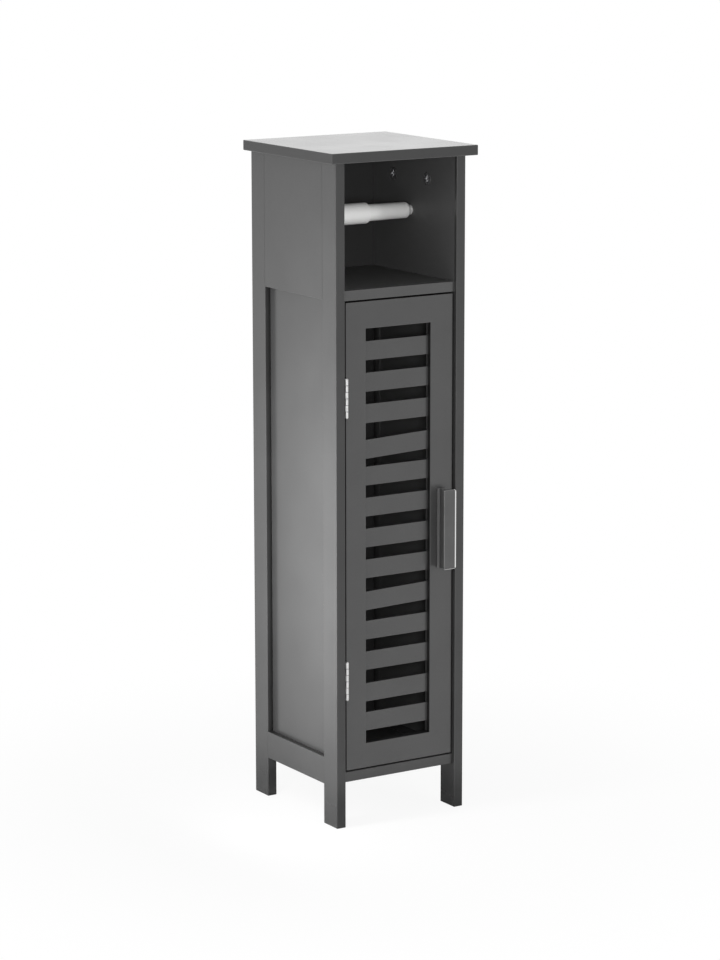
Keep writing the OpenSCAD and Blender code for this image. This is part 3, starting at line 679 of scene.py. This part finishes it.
floor_mesh = bmesh.new()
bmesh.ops.create_circle(floor_mesh, cap_ends=True, segments=96, radius=60.0)
floor_data = bpy.data.meshes.new("studio_floor")
floor_mesh.to_mesh(floor_data)
floor_mesh.free()
floor = bpy.data.objects.new("studio_floor", floor_data)
scene.collection.objects.link(floor)
floor_paint = finish("floor_paint", {"Roughness": 0.9, "IOR": 1.2}, pale_floor)
floor_data.materials.append(floor_paint)
nodes, links = floor_paint.node_tree.nodes, floor_paint.node_tree.links
place = Shade(floor_paint.node_tree, nodes["Texture Coordinate"].outputs["Object"])
far = place.node("ShaderNodeVectorMath", {"operation": "LENGTH"}, {0: place}, 1)
white = place.node("ShaderNodeEmission", {}, {"Color": (1, 1, 1, 1)})
straight, mirrored = background_rays(floor_paint.node_tree)
mix = place.node("ShaderNodeMixShader", {}, {
    0: straight * (0.91 + 0.09 * far.between(0.15, 0.7)) + mirrored * far.between(0.1, 0.5),
    1: Shade(floor_paint.node_tree, nodes["Principled BSDF"].outputs[0]), 2: white})
links.new(mix.output, nodes["Material Output"].inputs["Surface"])


# ---------------------------------------------------------------------------------------------------------
# Studio: a white room for the camera and for reflections, and a plain grey one for soft light. Lamps low
# down, beside the left side and in front on the right stay out of reflections. One more hangs near the
# camera, and a large one high behind the cabinet, whose light skims over the top.

room = bpy.data.worlds.new("studio_room")
scene.world = room
room.use_nodes = True
sky = room.node_tree.nodes["Background"]
straight, mirrored = background_rays(room.node_tree)
tone = (straight + mirrored).tint((0.62, 0.62, 0.62, 1), (1, 1, 1, 1))
room.node_tree.links.new(tone.output, sky.inputs["Color"])


def soft_lamp(name, place, aim, size, watts, mirrored=True):
    """A lamp of a width and a height at a place, turned towards what it lights."""
    data = bpy.data.lights.new(name, "AREA")
    data.shape = "RECTANGLE"
    data.size, data.size_y = size
    data.energy = watts
    lamp = bpy.data.objects.new(name, data)
    lamp.visible_camera = False
    lamp.visible_glossy = mirrored
    lamp.location = place
    lamp.rotation_euler = (Vector(aim) - Vector(place)).to_track_quat("-Z", "Y").to_euler()
    scene.collection.objects.link(lamp)


soft_lamp("low_left_strip", (-0.25, -0.07, 0.30), (-0.09, -0.07, 0.30), (0.04, 0.38), 1.03, mirrored=False)
soft_lamp("tall_left_strip", (-0.30, -0.07, 0.44), (-0.09, -0.07, 0.44), (0.04, 0.6), 1.15, mirrored=False)
soft_lamp("low_front_lamp", (0.1, -0.9, 0.08), (0, -0.09, 0.15), (0.3, 0.3), 0.6, mirrored=False)
soft_lamp("low_right_lamp", (0.75, -1.0, 0.1), (0.05, -0.09, 0.2), (0.4, 0.4), 1.4, mirrored=False)
soft_lamp("high_camera_lamp", (-1.3, -2.4, 0.95), (0, 0, 0.5), (0.4, 0.4), 18)
soft_lamp("right_front_lamp", (1.3, -2.4, 0.7), (0, 0, 0.5), (0.3, 0.3), 12, mirrored=False)
soft_lamp("skimming_lamp", (1.7, 3.0, 1.5), (0, 0, 0.8), (2.0, 2.0), 5.2)


# ---------------------------------------------------------------------------------------------------------
# Camera: a long lens from the front left, a little above the cabinet's middle and turned down to it, so
# that the top's face shows and the whole cabinet is in view.

lens = bpy.data.cameras.new("camera")
lens.lens = 124.07
lens.sensor_width = 36.0
lens.clip_end = 200.0
camera = bpy.data.objects.new("camera", lens)
camera.location = (-2.0663, -3.2824, 1.1754)
camera.rotation_euler = [math.radians(turn) for turn in (78.6431, 0.0602, -32.2016)]
scene.collection.objects.link(camera)
scene.camera = camera
